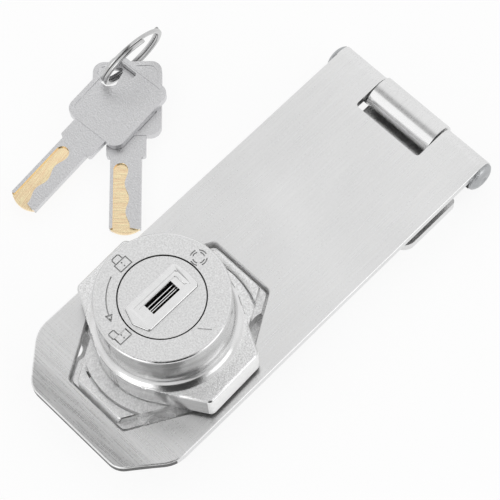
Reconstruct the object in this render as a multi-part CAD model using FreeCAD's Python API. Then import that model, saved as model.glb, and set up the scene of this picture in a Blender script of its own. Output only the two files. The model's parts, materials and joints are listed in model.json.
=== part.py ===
import FreeCAD, Part
import math
import os

os.makedirs("parts", exist_ok=True)

# Frame: the origin is on the knob's axis, in the mounting plane. X runs along the strap to the hinge.
V = FreeCAD.Vector
UP = V(0, 0, 1)
ALONG_X = V(1, 0, 0)
ALONG_Y = V(0, 1, 0)
ORIGIN = V(0, 0, 0)
FAR = 100.0
OVER = 1.0
TOUCH = 1e-4

# Sheet, hinge and strap
strap_sheet = 2.0
leaf_sheet = 2.5
pin_radius = 1.5
pin_play = 0.05
pin_from_knob = 71.65
strap_width = 41.0
strap_reach = 27.5
strap_end_flat = 25.2
strap_corner_run = 9.3
strap_end_radius = 4.5
strap_side_radius = 7.0
strap_edge = 0.35
notch_width = 18.0
notch_depth = 7.0
notch_radius = 0.8
knuckle_gap = 0.35
pin_head_radius = 3.3
pin_head_rim = 0.45
pin_head_height = 1.35
pin_head_dimple = 0.95
pin_dimple_depth = 0.45

# Hinge leaf
leaf_length = 16.0
leaf_radius = 3.0
leaf_hole_radius = 2.1
leaf_sink_radius = 3.7
leaf_hole_spacing = 25.0

# Opening in the strap: six sides, its side points cut flat
opening_shoulder = 5.0
opening_rail = 3.3
opening_radius = 1.2
slant_angle = 30.0

# Lock base
foot_gap = 0.5
foot_under_end = 2.55
foot_end = 23.0
foot_under_rail = 1.5
foot_radius = 3.0
pad_gap_end = 1.1
pad_gap_side = 0.6
pad_below_strap = 1.2
rim_above_strap = 1.2
rim_end_inside = 3.5
rim_gap_side = 0.6
rim_draft = 0.25
rim_radius = 1.2
recess_radius = 18.7
recess_wall = 1.25
groove_width = 0.6
mount_from_end = 8.4
mount_from_side = 5.3
mount_hole_radius = 2.1
mount_head_radius = 4.2
mount_seat = 3.0

# Knob
knob_gap = 0.3
flange_in_foot = 0.2
flange_end = 13.9
flange_round = 15.3
flange_angle = 2.0
flange_thick = 6.7
flange_corner = 1.4
flange_edge = 0.6
head_radius = 13.85
head_height = 12.2
head_edge = 0.5
head_fillet = 2.6
hub_radius = 10.5
hub_play = 0.08
hub_wall = 2.2
hub_end = 2.5

# Hub parts
retainer_radius = 13.0
retainer_thick = 1.2
retainer_play = 0.1
cavity_gap = 0.6
retainer_screw_radius = 0.85
retainer_screw_length = 3.6
retainer_sink_radius = 1.6
bolt_width = 5.0
bolt_thick = 2.35
bolt_travel = 2.6
bolt_tail = 4.4
bolt_nose = 0.8
bolt_rest = 0.2
slide_play = 0.05
follower_radius = 1.0
follower_start = 4.0
follower_length = 1.35
groove_play = 0.08
cam_thick = 2.3
cam_play = 0.1
plug_angle = 90.0

# Plug
plug_radius = 8.7
plug_play = 0.08
plug_sunk = 0.1
mouth_gap = 0.22
mouth_depth = 0.9
web_top = 12.0
tail_radius = 3.5
tail_play = 0.08
tail_square = 4.0
square_play = 0.04
keyway_width = 7.2
keyway_height = 2.75
keyway_floor = 0.8
wafer_count = 6
wafer_thick = 0.8
wafer_pitch = 1.95
wafer_first = 2.2
wafer_width = 6.8
wafer_play = 0.06
wafer_groove = 1.0
strip_thick = 0.25
strip_width = 5.0
cam_screw_radius = 1.0
cam_screw_head = 2.45
cam_screw_head_height = 0.8
cam_screw_length = 4.2

# Face plate and shutter
face_length = 13.5
face_width = 6.9
face_thick = 1.9
face_proud = 0.35
face_corner = 0.8
face_point = 1.3
face_bulge = 0.35
face_frame_end = 0.95
face_frame_side = 1.3
face_recess = 0.35
channel_end = 1.75
channel_side = 0.08
channel_recess = 0.7
shutter_thick = 0.15
shutter_height = 1.5
shutter_places = (0.85, 0.1, -0.35)

# Small fasteners and the click
bearing_screw_radius = 1.2
bearing_screw_play = 0.03
bearing_screw_head = 2.1
bearing_head_height = 1.4
bearing_screw_in_plate = 2.0
bearing_screw_in_rim = 0.7
bearing_bite = 1.7
detent_radius = 1.2
detent_play = 0.05
detent_beyond_hub = 2.5
detent_depth = 4.8
detent_dimple = 0.3
spring_wire = 0.2
spring_coil_count = 4

# Keys
key_length = 40.5
key_bow_length = 17.8
key_bow_width = 15.2
key_bow_radius = 2.4
key_rim = 1.0
key_rim_height = 0.15
key_thick = 1.6
key_neck_end = 22.7
key_neck_width = 8.6
key_blade_width = 6.8
key_tip_bulge = 1.3
key_hole_start = 1.35
key_hole_end = 7.9
key_hole_near = 1.0
key_hole_far = 6.4
key_hole_slot = 2.6
key_hole_slope = 2.2
key_hole_radius = 0.5
track_start = 24.2
track_width = 2.7
track_margin = 0.75
track_depth = 0.45
track_wave = 0.42
track_wave_count = 2.5
back_key_x = 39.5
back_key_y = 54.1
back_key_angle = 225.0
front_key_x = 39.8
front_key_y = 48.8
front_key_angle = 184.3
key_prop = 2.05

# Split ring, leaning on edge through both keys
ring_outer = 8.4
ring_wire_width = 1.1
ring_wire_thick = 0.8
ring_pitch = 0.85
ring_coil_count = 1.83
ring_start_angle = 75.0
ring_x = 39.5
ring_y = 52.15
ring_lean_angle = 12.7
ring_turn_angle = -2.7

# Plan sizes that follow: the recess sets the base's length, and the strap its width
slant_tan = math.tan(math.radians(slant_angle))
slant_cos = math.cos(math.radians(slant_angle))
hub_bore = hub_radius + hub_play
hub_cavity = hub_radius - hub_wall
cam_radius = hub_cavity - cam_play
bolt_out = hub_radius - bolt_rest
plate_radius = recess_radius - groove_width
block_half = recess_radius + recess_wall
opening_half = block_half + pad_gap_end
opening_side = strap_width / 2 - opening_rail
opening_end = 2 * (opening_side - (opening_half - opening_shoulder) * slant_tan)
pad_end = opening_end + 2 * (pad_gap_end * slant_tan - pad_gap_side / slant_cos)
pad_side = opening_side - pad_gap_side
rim_end = opening_end - rim_end_inside
rim_side = opening_side - rim_gap_side
foot_half = opening_half + foot_under_end
foot_side = strap_width / 2 - foot_under_rail
mount_x = foot_half - mount_from_end
mount_y = foot_side - mount_from_side
flange_half = foot_side - flange_in_foot
detent_at = hub_radius + detent_beyond_hub
bearing_screw_at = plate_radius - bearing_screw_in_plate
bearing_screw_y = rim_end / 2 - bearing_screw_in_rim
leaf_width = strap_width

# Levels and places that follow from the sizes above
pin_bore = pin_radius + pin_play
strap_knuckle = pin_bore + strap_sheet
leaf_knuckle = pin_bore + leaf_sheet
hinge_z = leaf_knuckle
strap_top = hinge_z + strap_knuckle
strap_under = strap_top - strap_sheet
notch_edge = pin_from_knob - notch_depth
foot_top = strap_under - foot_gap
pad_top = strap_top - pad_below_strap
rim_top = strap_top + rim_above_strap
flange_bottom = rim_top + knob_gap
flange_top = flange_bottom + flange_thick
head_top = flange_top + head_height
retainer_top = hub_end
retainer_under = retainer_top - retainer_thick
floor_under = retainer_top + retainer_play
bolt_under = retainer_top + slide_play
bolt_top = bolt_under + bolt_thick
guide_top = bolt_top + slide_play
cam_under = guide_top + cam_play
cam_top = cam_under + cam_thick
cavity_top = cam_top + cam_play
plug_top = head_top - plug_sunk
plug_bore = plug_radius + plug_play
plug_under = web_top + slide_play
keyway_under = plug_under + keyway_floor
face_top = head_top + face_proud
face_under = face_top - face_thick
key_bow_thick = key_thick + 2 * key_rim_height


def cylinder(radius, low, high, x=0.0, y=0.0):
    """Upright cylinder between two levels."""
    return Part.makeCylinder(radius, high - low, V(x, y, low))


def box(x0, x1, y0, y1, z0, z1):
    """Block given by its two faces in each direction."""
    return Part.makeBox(x1 - x0, y1 - y0, z1 - z0, V(x0, y0, z0))


def ring(outer, inner, low, high):
    """Upright ring between two levels."""
    return cylinder(outer, low, high).cut(cylinder(inner, low - OVER, high + OVER))


def rounded_wire(corners):
    """Closed wire through corners (x, y, radius), each one rounded by its radius."""
    cuts = []
    count = len(corners)
    for i, (x, y, radius) in enumerate(corners):
        here = V(x, y, 0)
        before = V(corners[i - 1][0], corners[i - 1][1], 0).sub(here).normalize()
        after = V(corners[(i + 1) % count][0], corners[(i + 1) % count][1], 0).sub(here).normalize()
        half = before.getAngle(after) / 2
        reach = radius / math.tan(half)
        middle = before.add(after).normalize() * (radius / math.sin(half) - radius)
        cuts.append((here.add(before * reach), here.add(middle), here.add(after * reach)))
    edges = []
    for i, (start, middle, end) in enumerate(cuts):
        if corners[i][2] > 0:
            edges.append(Part.Arc(start, middle, end).toShape())
        following = cuts[(i + 1) % count][0]
        if end.distanceToPoint(following) > 1e-6:
            edges.append(Part.LineSegment(end, following).toShape())
    return Part.Wire(edges)


def prism(corners, low, high):
    """Upright prism on a rounded outline."""
    face = Part.Face(rounded_wire(corners))
    face.translate(V(0, 0, low))
    return face.extrude(V(0, 0, high - low))


def six_sided(half_length, end, side, radius):
    """Corners of an elongated hexagon whose two side points are cut flat."""
    shoulder = half_length - (side - end / 2) / slant_tan
    quarter = [(half_length, end / 2, radius), (shoulder, side, radius)]
    top = quarter + [(-x, y, r) for x, y, r in reversed(quarter)]
    return top + [(-x, -y, r) for x, y, r in top]


def drafted(half_length, end, side, radius, low, high, level):
    """Six-sided block whose end walls lean inwards. Its sizes are those at the given level."""
    wires = []
    for z in (low, high):
        grow = (level - z) * rim_draft
        wire = rounded_wire(six_sided(half_length + grow, end - 2 * grow * slant_tan, side, radius))
        wire.translate(V(0, 0, z))
        wires.append(wire)
    return Part.makeLoft(wires, True, True)


def soften(shape, radius, wanted):
    """Round the edges that the test picks."""
    picked = [edge for edge in shape.Edges if wanted(edge)]
    return shape.makeFillet(radius, picked) if picked else shape


def around(shape, angle, x=0.0, y=0.0):
    """Copy turned about an upright axis."""
    turned = shape.copy()
    turned.rotate(V(x, y, 0), UP, angle)
    return turned


def fuse(shapes):
    """One solid from several that meet."""
    return shapes[0].multiFuse(shapes[1:]).removeSplitter()


def export(name, shape):
    """Write one node."""
    shape.exportStep("parts/" + name + ".step")
    print(name, "solids", len(shape.Solids), "valid", shape.isValid(), "volume", round(shape.Volume, 2))


def rolled_knuckle(outer, low_y, high_y, seam_low, seam_high):
    """Sheet rolled round the pin: a tube along Y, open where the roll ends beside the flat sheet."""
    length = high_y - low_y
    centre = V(pin_from_knob, low_y, hinge_z)
    tube = Part.makeCylinder(outer, length, centre, ALONG_Y)
    tube = tube.cut(Part.makeCylinder(pin_bore, length + 2 * OVER, centre - ALONG_Y * OVER, ALONG_Y))
    seam = box(pin_from_knob - 2 * outer, pin_from_knob, low_y - OVER, high_y + OVER, seam_low, seam_high)
    return tube.cut(seam)


def hasp_strap():
    """Folded strap: chamfered free end, six-sided opening, notch and two outer knuckles."""
    half = strap_width / 2
    end_half = strap_end_flat / 2
    shoulder = strap_corner_run - strap_reach
    sheet = prism([(pin_from_knob, -half, 0), (pin_from_knob, half, 0), (shoulder, half, strap_side_radius),
                   (-strap_reach, end_half, strap_end_radius), (-strap_reach, -end_half, strap_end_radius),
                   (shoulder, -half, strap_side_radius)], strap_under, strap_top)
    sheet = sheet.cut(prism(six_sided(opening_half, opening_end, opening_side, opening_radius),
                            strap_under - OVER, strap_top + OVER))
    sheet = soften(sheet, strap_edge, lambda edge: edge.BoundBox.ZMin > strap_top - TOUCH
                   and edge.CenterOfMass.x < notch_edge - notch_depth)
    notch = notch_width / 2
    sheet = sheet.cut(prism([(notch_edge, -notch, notch_radius), (pin_from_knob + FAR, -notch, 0),
                             (pin_from_knob + FAR, notch, 0), (notch_edge, notch, notch_radius)],
                            strap_under - OVER, strap_top + OVER))
    seam_low = hinge_z - pin_bore / 2
    knuckles = [rolled_knuckle(strap_knuckle, low, high, seam_low, strap_under)
                for low, high in ((-half, -notch), (notch, half))]
    return fuse([sheet] + knuckles)


def hinge_leaf():
    """Screw-down leaf with the middle knuckle rolled up from its neck."""
    half = leaf_width / 2
    neck = notch_width / 2 - knuckle_gap
    far_edge = notch_edge - leaf_length
    plate = prism([(notch_edge, -half, 1.0), (notch_edge, half, 1.0), (far_edge, half, leaf_radius),
                   (far_edge, -half, leaf_radius)], 0, leaf_sheet)
    plate = plate.fuse(box(notch_edge - OVER, pin_from_knob, -neck, neck, 0, leaf_sheet))
    middle = (notch_edge + far_edge) / 2
    for side in (-1, 1):
        y = side * leaf_hole_spacing / 2
        plate = plate.cut(cylinder(leaf_hole_radius, -OVER, leaf_sheet + OVER, middle, y))
        sink = Part.makeCone(leaf_hole_radius, leaf_sink_radius, leaf_sink_radius - leaf_hole_radius,
                             V(middle, y, leaf_sheet - leaf_sink_radius + leaf_hole_radius))
        plate = plate.cut(sink)
    knuckle = rolled_knuckle(leaf_knuckle, -neck, neck, leaf_sheet, hinge_z + pin_bore / 2)
    return fuse([plate, knuckle])


def hinge_pin():
    """Riveted pin with two domed heads, a small dimple in each."""
    half = strap_width / 2
    rim = half + pin_head_rim
    crown = half + pin_head_height
    points = [V(0, 0, 0), V(pin_radius, 0, 0), V(pin_radius, half, 0), V(pin_head_radius, half, 0),
              V(pin_head_radius, rim, 0)]
    dome_mid = V(pin_head_radius * 0.78, (rim + crown) / 2 + pin_head_height * 0.12, 0)
    dome_end = V(pin_head_dimple, crown, 0)
    edges = [Part.LineSegment(a, b).toShape() for a, b in zip(points, points[1:])]
    edges.append(Part.Arc(points[-1], dome_mid, dome_end).toShape())
    floor = V(0, crown - pin_dimple_depth, 0)
    edges.append(Part.LineSegment(dome_end, floor).toShape())
    edges.append(Part.LineSegment(floor, points[0]).toShape())
    half_pin = Part.Face(Part.Wire(edges)).revolve(ORIGIN, ALONG_Y, 360)
    pin = half_pin.fuse(half_pin.mirror(ORIGIN, ALONG_Y)).removeSplitter()
    pin.translate(V(pin_from_knob, 0, hinge_z))
    return pin


def mount_places():
    """Plan positions of the four mounting screws."""
    return [(sx * mount_x, sy * mount_y) for sx in (-1, 1) for sy in (-1, 1)]


def bearing_screw_places():
    """Plan positions of the four screws under the bearing plate."""
    x = math.sqrt(bearing_screw_at ** 2 - bearing_screw_y ** 2)
    return [(sx * x, sy * bearing_screw_y) for sx in (-1, 1) for sy in (-1, 1)]


def lock_base():
    """Cast base: foot under the strap, pad in the opening and a crescent rim at each end."""
    foot = prism(six_sided(foot_half, foot_end, foot_side, foot_radius), 0, foot_top)
    foot = soften(foot, strap_edge, lambda edge: edge.BoundBox.ZMin > foot_top - TOUCH)
    pad = drafted(block_half, pad_end, pad_side, rim_radius, foot_top - strap_edge, pad_top, rim_top)
    rims = drafted(block_half, rim_end, rim_side, rim_radius, pad_top - strap_edge, rim_top, rim_top)
    rims = soften(rims, strap_edge, lambda edge: edge.BoundBox.ZMin > rim_top - TOUCH)
    rims = rims.cut(cylinder(recess_radius, pad_top - 2 * OVER, rim_top + OVER))
    body = fuse([foot, pad] + rims.Solids)
    body = body.cut(cylinder(hub_bore, -OVER, rim_top + OVER))
    body = body.cut(cylinder(retainer_radius + cavity_gap, -OVER, floor_under))
    for x, y in mount_places():
        body = body.cut(cylinder(mount_hole_radius, -OVER, rim_top, x, y))
        body = body.cut(cylinder(mount_head_radius, mount_seat, rim_top + OVER, x, y))
    for x, y in bearing_screw_places():
        body = body.cut(cylinder(bearing_screw_radius + bearing_screw_play, -OVER, rim_top, x, y))
        body = body.cut(cylinder(bearing_screw_head + bearing_screw_play, -OVER, floor_under, x, y))
    pocket = box(0, bolt_out + bolt_travel + 3 * slide_play, -bolt_width / 2 - 2 * slide_play,
                 bolt_width / 2 + 2 * slide_play, floor_under - OVER, guide_top + slide_play)
    for angle in (0, 90):
        body = body.cut(around(pocket, angle))
    return body


def bearing_plate():
    """Round plate clipped to the casting's six sides, with a dimple for each click."""
    plate = prism(six_sided(block_half, rim_end, rim_side, rim_radius), pad_top, rim_top)
    plate = plate.common(cylinder(plate_radius, pad_top, rim_top))
    plate = plate.cut(cylinder(hub_bore, pad_top - OVER, rim_top + OVER))
    for x, y in bearing_screw_places():
        plate = plate.cut(cylinder(bearing_screw_radius + bearing_screw_play, pad_top - OVER,
                                   pad_top + bearing_bite, x, y))
    dimple = Part.makeSphere(detent_radius, V(detent_at, 0, rim_top + detent_radius - detent_dimple))
    for angle in (0, 90):
        plate = plate.cut(around(dimple, angle))
    return plate


def pan_screw(radius, head_radius_, head_height_, under, end, x=0.0, y=0.0):
    """Screw seen from below: pan head with a slot, its shank pointing up."""
    head = cylinder(head_radius_, under - head_height_, under, x, y)
    slot = box(x - head_radius_, x + head_radius_, y - head_height_ * 0.22, y + head_height_ * 0.22,
               under - head_height_ - OVER, under - head_height_ * 0.55)
    return fuse([head.cut(slot), cylinder(radius, under - head_height_ * 0.3, end, x, y)])


def bearing_screws():
    """Four screws that hold the bearing plate from below."""
    end = pad_top + bearing_bite - bearing_screw_play
    return Part.makeCompound([pan_screw(bearing_screw_radius, bearing_screw_head, bearing_head_height,
                                        floor_under, end, x, y) for x, y in bearing_screw_places()])


def friction_washer():
    """Thin washer between flange and bearing plate."""
    return ring(detent_at - detent_radius - 2 * knob_gap, hub_bore, rim_top, flange_bottom)


def flange_corners():
    """Six sides: two flat ends and two long sides with points that are rounded about the knob's axis."""
    x = flange_end / 2
    normal = math.atan2(flange_half, x) - math.acos(flange_round / math.hypot(x, flange_half))
    point = flange_round / math.cos(normal)
    return [(x, flange_half, flange_corner), (-x, flange_half, flange_corner), (-point, 0, flange_round),
            (-x, -flange_half, flange_corner), (x, -flange_half, flange_corner), (point, 0, flange_round)]


def head_profile():
    """Half section of the round head with its hollow fillet onto the flange."""
    low = V(0, 0, flange_top - OVER)
    foot = V(head_radius + head_fillet, 0, flange_top)
    rise = V(head_radius, 0, flange_top + head_fillet)
    centre = V(head_radius + head_fillet, 0, flange_top + head_fillet)
    middle = centre.add(V(-1, 0, -1).normalize() * head_fillet)
    edge_low = V(head_radius, 0, head_top - head_edge)
    edge_mid = V(head_radius - head_edge * 0.293, 0, head_top - head_edge * 0.293)
    edge_high = V(head_radius - head_edge, 0, head_top)
    lines = [(low, V(foot.x, 0, low.z)), (V(foot.x, 0, low.z), foot)]
    edges = [Part.LineSegment(a, b).toShape() for a, b in lines]
    edges.append(Part.Arc(foot, middle, rise).toShape())
    edges.append(Part.LineSegment(rise, edge_low).toShape())
    edges.append(Part.Arc(edge_low, edge_mid, edge_high).toShape())
    edges.append(Part.LineSegment(edge_high, V(0, 0, head_top)).toShape())
    edges.append(Part.LineSegment(V(0, 0, head_top), low).toShape())
    return Part.Face(Part.Wire(edges))


def retainer_screw_places():
    """Plan positions of the three screws in the hub's wall."""
    at = (hub_cavity + hub_radius) / 2
    return [(at * math.cos(math.radians(a)), at * math.sin(math.radians(a))) for a in (60, 180, 300)]


def bolt_window(low, high, play):
    """Slot from the hub's middle outwards, in which the locking bolt runs."""
    return box(-bolt_tail - play, hub_radius + OVER, -bolt_width / 2 - play, bolt_width / 2 + play, low, high)


def knob():
    """Cast knob: flange, round head and hub, bored for the key cylinder. The flange stands slightly turned."""
    flange = around(prism(flange_corners(), flange_bottom, flange_top), flange_angle)
    flange = soften(flange, flange_edge, lambda edge: edge.BoundBox.ZMin > flange_top - TOUCH)
    head = head_profile().revolve(ORIGIN, UP, 360)
    head = head.common(around(prism(flange_corners(), flange_bottom, head_top + OVER), flange_angle))
    body = fuse([flange, head, cylinder(hub_radius, hub_end, flange_bottom + OVER)])
    body = body.cut(cylinder(plug_bore, web_top, head_top + OVER))
    body = body.cut(cylinder(plug_bore + mouth_gap, head_top - mouth_depth, head_top + OVER))
    body = body.cut(cylinder(tail_radius + tail_play, cavity_top - OVER, web_top + OVER))
    body = body.cut(cylinder(hub_cavity, hub_end - OVER, cavity_top))
    body = body.cut(bolt_window(hub_end - OVER, guide_top, slide_play))
    wafer_half = wafer_width / 2 + 4 * wafer_play
    groove = box(-plug_bore - wafer_groove, plug_bore + wafer_groove, -wafer_half, wafer_half,
                 web_top + keyway_floor, face_under - face_recess - 2 * wafer_thick)
    body = body.cut(groove)
    body = body.cut(cylinder(detent_radius + detent_play, flange_bottom - OVER, flange_bottom + detent_depth,
                             detent_at, 0))
    for x, y in retainer_screw_places():
        body = body.cut(cylinder(retainer_screw_radius + tail_play / 4, hub_end - OVER,
                                 retainer_under + retainer_screw_length, x, y))
    return body


def hub_retainer():
    """Disc under the hub that holds the knob down in the base."""
    disc = cylinder(retainer_radius, retainer_under, retainer_top)
    for x, y in retainer_screw_places():
        disc = disc.cut(cylinder(retainer_screw_radius + tail_play / 4, retainer_under - OVER,
                                 retainer_top + OVER, x, y))
        depth = retainer_sink_radius - retainer_screw_radius
        disc = disc.cut(Part.makeCone(retainer_sink_radius, retainer_screw_radius, depth, V(x, y, retainer_under)))
    return disc


def retainer_screws():
    """Three countersunk screws, flush with the retainer's underside."""
    screws = []
    for x, y in retainer_screw_places():
        depth = retainer_sink_radius - retainer_screw_radius
        head = Part.makeCone(retainer_sink_radius, retainer_screw_radius, depth, V(x, y, retainer_under))
        slot = box(x - retainer_sink_radius, x + retainer_sink_radius, y - depth / 4, y + depth / 4,
                   retainer_under - OVER, retainer_under + depth / 2)
        end = retainer_under + retainer_screw_length - tail_play
        shank = cylinder(retainer_screw_radius, retainer_under + depth / 2, end, x, y)
        screws.append(fuse([head.cut(slot), shank]))
    return Part.makeCompound(screws)


def bolt_guide():
    """Disc in the hub with the slot that guides the bolt."""
    disc = cylinder(hub_cavity - slide_play, retainer_top, guide_top)
    return disc.cut(bolt_window(retainer_top - OVER, guide_top + OVER, slide_play))


def locking_bolt():
    """Flat bolt with a round follower that rides in the cam's spiral groove."""
    half = bolt_width / 2
    bar = prism([(-bolt_tail, -half, 0.3), (-bolt_tail, half, 0.3), (bolt_out, half, bolt_nose),
                 (bolt_out, -half, bolt_nose)], bolt_under, bolt_top)
    follower = cylinder(follower_radius, bolt_top - OVER, bolt_top + follower_length, follower_start, 0)
    return fuse([bar, follower])


def spiral_groove(half_width, low, high):
    """Groove whose radius grows evenly with the angle, so that turning it drives the bolt evenly."""
    rate = bolt_travel / math.radians(plug_angle)
    steps = 8

    def centre(turn):
        radius = follower_start + rate * turn
        return V(radius * math.cos(turn), -radius * math.sin(turn), 0)

    def across(turn):
        step = 1e-4
        heading = centre(turn + step).sub(centre(turn - step)).normalize()
        return V(-heading.y, heading.x, 0)

    turns = [math.radians(plug_angle) * i / steps for i in range(steps + 1)]
    sides = []
    for side in (-1, 1):
        curve = Part.BSplineCurve()
        curve.interpolate([centre(t).add(across(t) * side * half_width) for t in turns])
        sides.append(curve.toShape())
    caps = []
    for turn, outward in ((turns[0], -1), (turns[-1], 1)):
        normal = across(turn)
        heading = V(normal.y, -normal.x, 0)
        caps.append(Part.Arc(centre(turn).sub(normal * half_width),
                             centre(turn).add(heading * outward * half_width),
                             centre(turn).add(normal * half_width)).toShape())
    face = Part.Face(Part.Wire(Part.__sortEdges__(sides + caps)))
    face.translate(V(0, 0, low))
    return face.extrude(V(0, 0, high - low))


def tail_cam():
    """Disc on the plug's tail with the spiral groove in its underside."""
    disc = cylinder(cam_radius, cam_under, cam_top)
    groove_top = bolt_top + follower_length + 2 * groove_play
    disc = disc.cut(spiral_groove(follower_radius + groove_play, cam_under - OVER, groove_top))
    half = tail_square / 2 + square_play
    disc = disc.cut(box(-half, half, -half, half, cam_under, cam_top + OVER))
    return disc.cut(cylinder(cam_screw_head + square_play, cam_under - OVER, cam_under + cam_screw_head_height))


def cam_screw():
    """Screw that holds the cam on the plug's tail."""
    under = cam_under + cam_screw_head_height
    return pan_screw(cam_screw_radius, cam_screw_head, cam_screw_head_height - cam_play / 2, under,
                     under + cam_screw_length)


def wafer_levels():
    """Underside of each wafer."""
    return [plug_under + wafer_first + i * wafer_pitch for i in range(wafer_count)]


def wafer_slot_half():
    """Half the width of the slots across the plug."""
    return wafer_width / 2 + wafer_play


def plug():
    """Key cylinder: keyway, slots for the wafers, seat for the face plate and a square tail."""
    body = cylinder(plug_radius, plug_under, plug_top)
    body = body.fuse(cylinder(tail_radius, cam_top + slide_play, plug_under + OVER))
    half = tail_square / 2
    square_low = cam_under + cam_screw_head_height
    body = body.fuse(box(-half, half, -half, half, square_low, cam_top + OVER))
    body = body.cut(box(-keyway_width / 2, keyway_width / 2, -keyway_height / 2, keyway_height / 2,
                        keyway_under, head_top + OVER))
    body = body.cut(prism(face_corners(square_play), face_under, head_top + OVER))
    slot = wafer_slot_half()
    for level in wafer_levels():
        body = body.cut(box(-plug_radius - OVER, plug_radius + OVER, -slot, slot, level - wafer_play,
                            level + wafer_thick + wafer_play))
    levels = wafer_levels()
    pocket_top = levels[-1] + wafer_thick + wafer_play
    body = body.cut(box(-strip_width / 2 - wafer_play, strip_width / 2 + wafer_play, slot - OVER / 4,
                        slot + strip_thick + 2 * wafer_play, levels[0] - wafer_thick, pocket_top))
    hole_top = square_low + cam_screw_length + tail_play
    return body.cut(cylinder(cam_screw_radius + square_play, square_low - OVER, hole_top)).removeSplitter()


def wafers():
    """Thin plates with a window for the blade, level with the plug as they are with the key in."""
    plates = []
    for level in wafer_levels():
        plate = box(-plug_radius, plug_radius, -wafer_width / 2, wafer_width / 2, level, level + wafer_thick)
        plate = plate.common(cylinder(plug_radius - wafer_play, level, level + wafer_thick))
        window = level_box(keyway_width / 2, keyway_height / 2, strip_thick, level - OVER,
                           level + wafer_thick + OVER)
        plates.append(plate.cut(window))
    return Part.makeCompound(plates)


def wafer_spring_strip():
    """Comb of leaf fingers beside the wafers."""
    levels = wafer_levels()
    low = levels[0] - wafer_thick + wafer_play
    high = levels[-1] + wafer_thick
    inner = wafer_slot_half() + wafer_play
    strip = box(-strip_width / 2, strip_width / 2, inner, inner + strip_thick, low, high)
    for level in levels[1:]:
        gap = level - (wafer_pitch - wafer_thick) / 2
        strip = strip.cut(box(-strip_width / 4, strip_width, 0, FAR, gap - wafer_play, gap + wafer_play))
    return strip


def face_corners(grow=0.0):
    """Outline of the face plate: one end pointed, the other one slightly bulged."""
    x = face_length / 2 + grow
    y = face_width / 2 + grow
    return [(x, -y, face_corner), (x + face_bulge, 0, face_corner), (x, y, face_corner), (-x, y, face_corner),
            (-x - face_point, 0, face_corner), (-x, -y, face_corner)]


def level_box(half_x, half_y, radius, low, high):
    """Upright block about the axis with rounded corners."""
    return prism([(half_x, -half_y, radius), (half_x, half_y, radius), (-half_x, half_y, radius),
                  (-half_x, -half_y, radius)], low, high)


def plug_face():
    """Raised guide plate: a stepped frame round the keyway and a channel that leads the key's tip."""
    x = face_length / 2
    y = face_width / 2
    plate = prism(face_corners(), face_under, face_top)
    plate = soften(plate, face_recess / 2, lambda edge: edge.BoundBox.ZMin > face_top - TOUCH)
    plate = plate.cut(level_box(x - face_frame_end, y - face_frame_side, face_recess, face_top - face_recess,
                                face_top + OVER))
    plate = plate.cut(level_box(x - channel_end, keyway_height / 2 + channel_side, face_recess,
                                face_top - channel_recess, face_top + OVER))
    slot = box(-keyway_width / 2, keyway_width / 2, -keyway_height / 2, keyway_height / 2, face_under - OVER,
               face_top + OVER)
    return plate.cut(slot)


def dust_shutter():
    """Thin leaves that stand in the keyway under the face plate."""
    leaves = []
    for middle in shutter_places:
        leaves.append(box(-keyway_width / 2 + slide_play, keyway_width / 2 - slide_play, middle - shutter_thick / 2,
                          middle + shutter_thick / 2, face_under - shutter_height, face_under))
    return Part.makeCompound(leaves)


def detent_ball():
    """Ball that clicks over the bearing plate."""
    return Part.makeSphere(detent_radius, V(detent_at, 0, rim_top + detent_radius + detent_play / 2))


def wire_section(radius, half_wide, half_thick):
    """Rectangular section of a coiled wire, at its starting point."""
    corners = [V(radius - half_wide, 0, -half_thick), V(radius + half_wide, 0, -half_thick),
               V(radius + half_wide, 0, half_thick), V(radius - half_wide, 0, half_thick)]
    return Part.Wire([Part.LineSegment(corners[i - 1], corners[i]).toShape() for i in range(4)])


def detent_spring():
    """Coil spring of square wire above the ball."""
    low = rim_top + 2 * detent_radius + detent_play
    high = flange_bottom + detent_depth
    radius = detent_radius - 2 * spring_wire
    height = high - low - 2 * spring_wire
    helix = Part.makeHelix(height / spring_coil_count, height, radius)
    coil = Part.Wire(helix.Edges).makePipeShell([wire_section(radius, spring_wire, spring_wire)], True, True)
    coil.translate(V(detent_at, 0, low + spring_wire))
    return coil


def track_corners(x):
    """Wavy side of the milled track: its distance from the blade's middle at a place along the key."""
    along = (x - track_start) / (key_length - track_start)
    straight = key_blade_width / 2 - track_margin - track_width
    return -straight + track_wave * math.sin(2 * math.pi * track_wave_count * along) + along * track_width / 4


def key_track(low, high):
    """Milled track: straight on one side, wavy on the other, open and flared at the tip."""
    straight = -key_blade_width / 2 + track_margin
    mouth = key_length - key_tip_bulge
    count = 12
    first = track_start + track_width / 2
    xs = [first + (mouth - first) * i / count for i in range(count + 1)]
    wave = Part.BSplineCurve()
    wave.interpolate([V(x, track_corners(x), 0) for x in xs])
    start_low = V(xs[0], straight, 0)
    start_high = V(xs[0], track_corners(xs[0]), 0)
    nose = V(track_start, (start_low.y + start_high.y) / 2, 0)
    mouth_low = V(mouth, straight, 0)
    mouth_high = V(mouth, track_corners(mouth), 0)
    edge = key_blade_width
    out = [mouth_high, V(key_length, edge, 0), V(key_length + OVER, edge, 0), V(key_length + OVER, -edge, 0),
           V(key_length, -edge, 0), mouth_low, start_low]
    edges = [Part.Arc(start_low, nose, start_high).toShape(), wave.toShape()]
    edges += [Part.LineSegment(a, b).toShape() for a, b in zip(out, out[1:])]
    face = Part.Face(Part.Wire(edges))
    face.translate(V(0, 0, low))
    return face.extrude(V(0, 0, high - low))


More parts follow.
